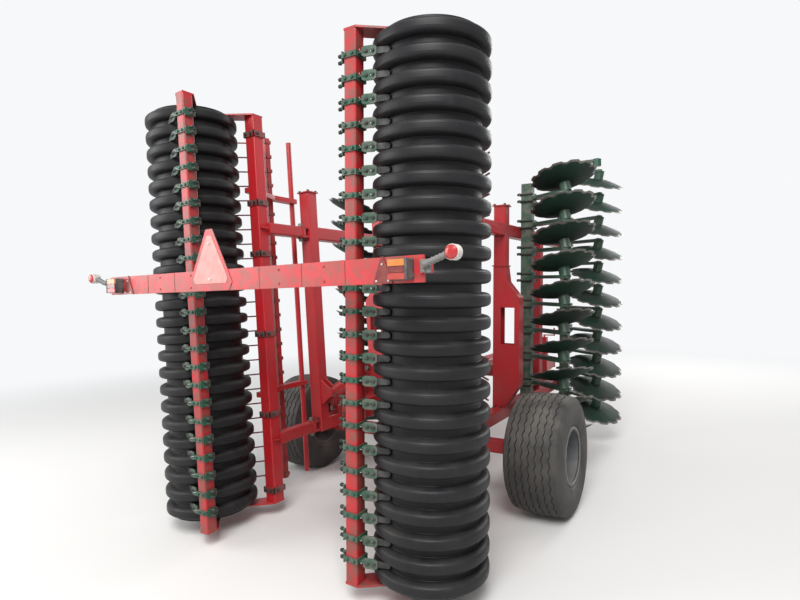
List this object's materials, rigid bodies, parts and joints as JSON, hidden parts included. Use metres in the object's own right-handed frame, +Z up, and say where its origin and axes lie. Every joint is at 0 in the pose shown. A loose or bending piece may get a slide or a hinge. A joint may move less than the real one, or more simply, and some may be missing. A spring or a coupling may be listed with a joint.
{
  "type": "disc harrow",
  "caption": "Trailed compact disc harrow with two folding wings, scalloped discs, spring tines and a ringed rubber packer roller, standing folded on its wheels and jack.",
  "frame": {"origin": "on the floor under the middle of the machine's bounding box", "axes": "+X to the machine's right, +Y forward to the tractor and the hitch eye, +Z up"},
  "size_m": [2.97, 6.217, 3.1506],
  "materials": {
    "red_paint": "gloss paint, weathered, dusty",
    "green_paint": "gloss paint, weathered",
    "bright_steel": "zinc plated",
    "dark_steel": "dark, worn",
    "disc_steel": "dark paint worn to steel",
    "roller_rubber": "matte, dusty",
    "tyre": "matte",
    "red_reflective": "reflective sheet",
    "lamp_plastic": "glossy lens"
  },
  "bodies": {
    "chassis": {"chassis_beam": "red_paint", "hinge_carriers": "red_paint", "cylinder_anchor": "red_paint", "axle_beam": "red_paint", "drawbar": "red_paint", "hitch_eye": "bright_steel", "jack_tube": "red_paint", "light_mast": "red_paint", "light_boards": "red_reflective", "tail_lamps": "lamp_plastic", "side_reflectors": "red_reflective", "marker_lamps": "lamp_plastic", "slow_vehicle_plate": "red_reflective"},
    "jack": {"jack_leg_foot": "bright_steel"},
    "wheel_right": {"tyre_right": "tyre", "rim_right": "dark_steel"},
    "wheel_left": {"tyre_left": "tyre", "rim_left": "dark_steel"},
    "wing_right": {"wing_frame_right": "red_paint", "roller_frame_right": "red_paint", "scraper_beam_right": "red_paint", "scrapers_right": "green_paint", "scraper_tips_right": "dark_steel", "tine_bar_right": "red_paint", "tines_right": "dark_steel", "disc_beams_right": "green_paint", "disc_arms_right": "green_paint", "discs_right": "disc_steel"},
    "wing_left": {"wing_frame_left": "red_paint", "roller_frame_left": "red_paint", "scraper_beam_left": "red_paint", "scrapers_left": "green_paint", "scraper_tips_left": "dark_steel", "tine_bar_left": "red_paint", "tines_left": "dark_steel", "disc_beams_left": "green_paint", "disc_arms_left": "green_paint", "discs_left": "disc_steel"},
    "roller_right": {"roller_rings_right": "roller_rubber", "roller_drum_right": "dark_steel"},
    "roller_left": {"roller_rings_left": "roller_rubber", "roller_drum_left": "dark_steel"},
    "fold_barrel_right": {"fold_barrel_right": "red_paint"},
    "fold_barrel_left": {"fold_barrel_left": "red_paint"},
    "fold_rod_right": {"fold_rod_right": "bright_steel"},
    "fold_rod_left": {"fold_rod_left": "bright_steel"}
  },
  "joints": [
    {"name": "jack_lift", "type": "slide", "parent": "chassis", "child": "jack", "axis": [0, 0, 1], "range_m": [0, 0.38]},
    {"name": "wheel_right_spin", "type": "hinge", "parent": "chassis", "child": "wheel_right", "pos_m": [1.21, -1.1085, 0.455], "axis": [1, 0, 0], "continuous": true},
    {"name": "wing_right_fold", "type": "hinge", "parent": "chassis", "child": "wing_right", "pos_m": [0.605, -1.6385, 0.705], "axis": [0, 1, 0], "range_deg": [0, 88]},
    {"name": "roller_right_spin", "type": "hinge", "parent": "wing_right", "child": "roller_right", "pos_m": [1.01205, -2.5085, 1.61635], "axis": [0.0349, 0, 0.9994], "continuous": true},
    {"name": "fold_barrel_right_swing", "type": "hinge", "parent": "chassis", "child": "fold_barrel_right", "pos_m": [0.055, -1.6385, 1.12], "axis": [0, 1, 0], "range_deg": [-8.18, 0]},
    {"name": "fold_rod_right_slide", "type": "slide", "parent": "fold_barrel_right", "child": "fold_rod_right", "axis": [0.8729, 0, -0.4879], "range_m": [0, 0.2957]},
    {"name": "wheel_left_spin", "type": "hinge", "parent": "chassis", "child": "wheel_left", "pos_m": [-1.21, -1.1085, 0.455], "axis": [1, 0, 0], "continuous": true},
    {"name": "wing_left_fold", "type": "hinge", "parent": "chassis", "child": "wing_left", "pos_m": [-0.605, -1.6385, 0.705], "axis": [0, -1, 0], "range_deg": [0, 88]},
    {"name": "roller_left_spin", "type": "hinge", "parent": "wing_left", "child": "roller_left", "pos_m": [-1.01205, -2.5085, 1.61635], "axis": [-0.0349, 0, 0.9994], "continuous": true},
    {"name": "fold_barrel_left_swing", "type": "hinge", "parent": "chassis", "child": "fold_barrel_left", "pos_m": [-0.055, -1.6385, 1.12], "axis": [0, -1, 0], "range_deg": [-8.18, 0]},
    {"name": "fold_rod_left_slide", "type": "slide", "parent": "fold_barrel_left", "child": "fold_rod_left", "axis": [-0.8729, 0, -0.4879], "range_m": [0, 0.2957]}
  ],
  "couplings": [
    {"joint": "fold_barrel_right_swing", "follows": "wing_right_fold", "ratio": -0.091854},
    {"joint": "fold_rod_right_slide", "follows": "wing_right_fold", "m_per_rad": 0.19187},
    {"joint": "fold_barrel_left_swing", "follows": "wing_left_fold", "ratio": -0.091854},
    {"joint": "fold_rod_left_slide", "follows": "wing_left_fold", "m_per_rad": 0.19187}
  ]
}
